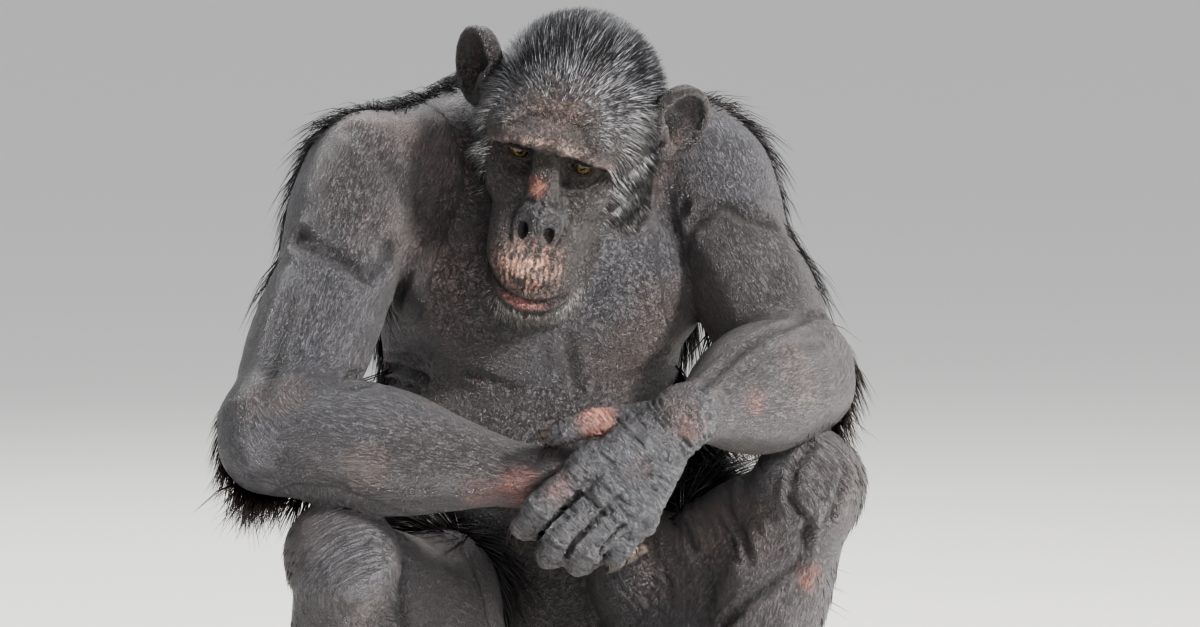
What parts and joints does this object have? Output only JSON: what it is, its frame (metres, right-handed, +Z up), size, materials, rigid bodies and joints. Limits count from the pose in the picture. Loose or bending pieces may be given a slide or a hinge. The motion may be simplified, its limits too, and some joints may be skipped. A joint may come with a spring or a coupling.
{
  "type": "chimpanzee",
  "caption": "Sitting adult chimpanzee with a nearly hairless front, head bowed, forearms on its knees, one hand holding the other wrist.",
  "frame": {"origin": "middle of the flat under the rump, on the floor", "axes": "+X to the animal's left, -Y where its chest faces, +Z up"},
  "size_m": [0.5488, 0.5524, 0.7036],
  "materials": {
    "skin": "satin",
    "hair": "satin",
    "eyes": "gloss",
    "nails": "satin"
  },
  "bodies": {
    "root": {"head": "skin", "neck": "skin", "torso": "skin", "ear_right": "skin", "ear_left": "skin", "upper_arm_right": "skin", "upper_arm_left": "skin", "forearm_right": "skin", "forearm_left": "skin", "hand_right": "skin", "hand_left": "skin", "thigh_right": "skin", "thigh_left": "skin", "shin_right": "skin", "shin_left": "skin", "foot_right": "skin", "foot_left": "skin", "eye_right": "eyes", "eye_left": "eyes"}
  },
  "joints": []
}
